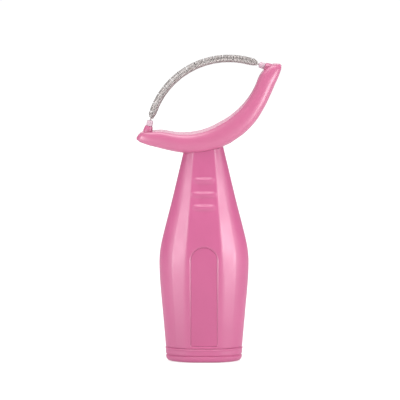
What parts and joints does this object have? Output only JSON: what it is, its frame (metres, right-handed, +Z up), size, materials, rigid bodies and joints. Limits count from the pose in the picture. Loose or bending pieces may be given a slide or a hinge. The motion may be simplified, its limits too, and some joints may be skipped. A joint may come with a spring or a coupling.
{
  "type": "coil spring hair remover",
  "caption": "Hand-held manual hair remover: a faceted two-shell handle with a tilted crescent bow that holds a rolling, bowed coil spring between two posts.",
  "frame": {"origin": "centre of the flat base that the handle stands on", "axes": "+Z up along the handle to the bow, -Y out of the front with the thumb ribs, +X to the side where the bow is higher"},
  "size_m": [0.0702, 0.0259, 0.1502],
  "materials": {
    "handle_plastic": "satin moulded",
    "inlay_plastic": "satin moulded",
    "bow_plastic": "glossy moulded",
    "nylon": "translucent",
    "spring_steel": "drawn wire",
    "pin_steel": "turned",
    "screw_steel": "zinc plated"
  },
  "bodies": {
    "frame": {"front_shell": "handle_plastic", "rear_shell": "handle_plastic", "base_cap": "handle_plastic", "grip_inlay": "inlay_plastic", "screw_upper": "screw_steel", "screw_lower_left": "screw_steel", "screw_lower_right": "screw_steel", "bow_hull": "bow_plastic", "deck_cover": "bow_plastic", "bush_left": "nylon", "bush_right": "nylon"},
    "left_end": {"spindle_left": "pin_steel", "retainer_left": "pin_steel", "coil_end_left": "spring_steel"},
    "run_01": {"coil_run_01": "spring_steel"},
    "run_02": {"coil_run_02": "spring_steel"},
    "run_03": {"coil_run_03": "spring_steel"},
    "run_04": {"coil_run_04": "spring_steel"},
    "run_05": {"coil_run_05": "spring_steel"},
    "run_06": {"coil_run_06": "spring_steel"},
    "run_07": {"coil_run_07": "spring_steel"},
    "run_08": {"coil_run_08": "spring_steel"},
    "run_09": {"coil_run_09": "spring_steel"},
    "run_10": {"coil_run_10": "spring_steel"},
    "run_11": {"coil_run_11": "spring_steel"},
    "run_12": {"coil_run_12": "spring_steel"},
    "run_13": {"coil_run_13": "spring_steel"},
    "right_end": {"spindle_right": "pin_steel", "retainer_right": "pin_steel", "coil_end_right": "spring_steel"}
  },
  "joints": [
    {"name": "coil_roll", "type": "hinge", "parent": "frame", "child": "run_07", "pos_m": [-0.00592, 0, 0.14388], "axis": [0.887, 0, 0.4617], "continuous": true},
    {"name": "left_end_roll", "type": "hinge", "parent": "frame", "child": "left_end", "pos_m": [-0.02536, 0, 0.12047], "axis": [0.2504, 0, 0.9681], "continuous": true},
    {"name": "roll_01", "type": "hinge", "parent": "frame", "child": "run_01", "pos_m": [-0.02405, 0, 0.12393], "axis": [0.3744, 0, 0.9273], "continuous": true},
    {"name": "roll_02", "type": "hinge", "parent": "frame", "child": "run_02", "pos_m": [-0.02208, 0, 0.12807], "axis": [0.4809, 0, 0.8768], "continuous": true},
    {"name": "roll_03", "type": "hinge", "parent": "frame", "child": "run_03", "pos_m": [-0.01965, 0, 0.13195], "axis": [0.5806, 0, 0.8142], "continuous": true},
    {"name": "roll_04", "type": "hinge", "parent": "frame", "child": "run_04", "pos_m": [-0.01677, 0, 0.13552], "axis": [0.6723, 0, 0.7403], "continuous": true},
    {"name": "roll_05", "type": "hinge", "parent": "frame", "child": "run_05", "pos_m": [-0.01349, 0, 0.13873], "axis": [0.7547, 0, 0.6561], "continuous": true},
    {"name": "roll_06", "type": "hinge", "parent": "frame", "child": "run_06", "pos_m": [-0.00986, 0, 0.14153], "axis": [0.8266, 0, 0.5628], "continuous": true},
    {"name": "roll_08", "type": "hinge", "parent": "frame", "child": "run_08", "pos_m": [-0.00174, 0, 0.14576], "axis": [0.9351, 0, 0.3543], "continuous": true},
    {"name": "roll_09", "type": "hinge", "parent": "frame", "child": "run_09", "pos_m": [0.00264, 0, 0.14713], "axis": [0.9703, 0, 0.2419], "continuous": true},
    {"name": "roll_10", "type": "hinge", "parent": "frame", "child": "run_10", "pos_m": [0.00714, 0, 0.14797], "axis": [0.992, 0, 0.1261], "continuous": true},
    {"name": "roll_11", "type": "hinge", "parent": "frame", "child": "run_11", "pos_m": [0.01172, 0, 0.14828], "axis": [1, 0, 0.0086], "continuous": true},
    {"name": "roll_12", "type": "hinge", "parent": "frame", "child": "run_12", "pos_m": [0.0163, 0, 0.14805], "axis": [0.994, 0, -0.109], "continuous": true},
    {"name": "roll_13", "type": "hinge", "parent": "frame", "child": "run_13", "pos_m": [0.02082, 0, 0.14728], "axis": [0.9743, 0, -0.2251], "continuous": true},
    {"name": "right_end_roll", "type": "hinge", "parent": "frame", "child": "right_end", "pos_m": [0.0244, 0, 0.14637], "axis": [0.9367, 0, -0.3502], "continuous": true}
  ],
  "couplings": [
    {"joint": "left_end_roll", "follows": "coil_roll", "ratio": 1},
    {"joint": "roll_01", "follows": "coil_roll", "ratio": 1},
    {"joint": "roll_02", "follows": "coil_roll", "ratio": 1},
    {"joint": "roll_03", "follows": "coil_roll", "ratio": 1},
    {"joint": "roll_04", "follows": "coil_roll", "ratio": 1},
    {"joint": "roll_05", "follows": "coil_roll", "ratio": 1},
    {"joint": "roll_06", "follows": "coil_roll", "ratio": 1},
    {"joint": "roll_08", "follows": "coil_roll", "ratio": 1},
    {"joint": "roll_09", "follows": "coil_roll", "ratio": 1},
    {"joint": "roll_10", "follows": "coil_roll", "ratio": 1},
    {"joint": "roll_11", "follows": "coil_roll", "ratio": 1},
    {"joint": "roll_12", "follows": "coil_roll", "ratio": 1},
    {"joint": "roll_13", "follows": "coil_roll", "ratio": 1},
    {"joint": "right_end_roll", "follows": "coil_roll", "ratio": 1}
  ]
}
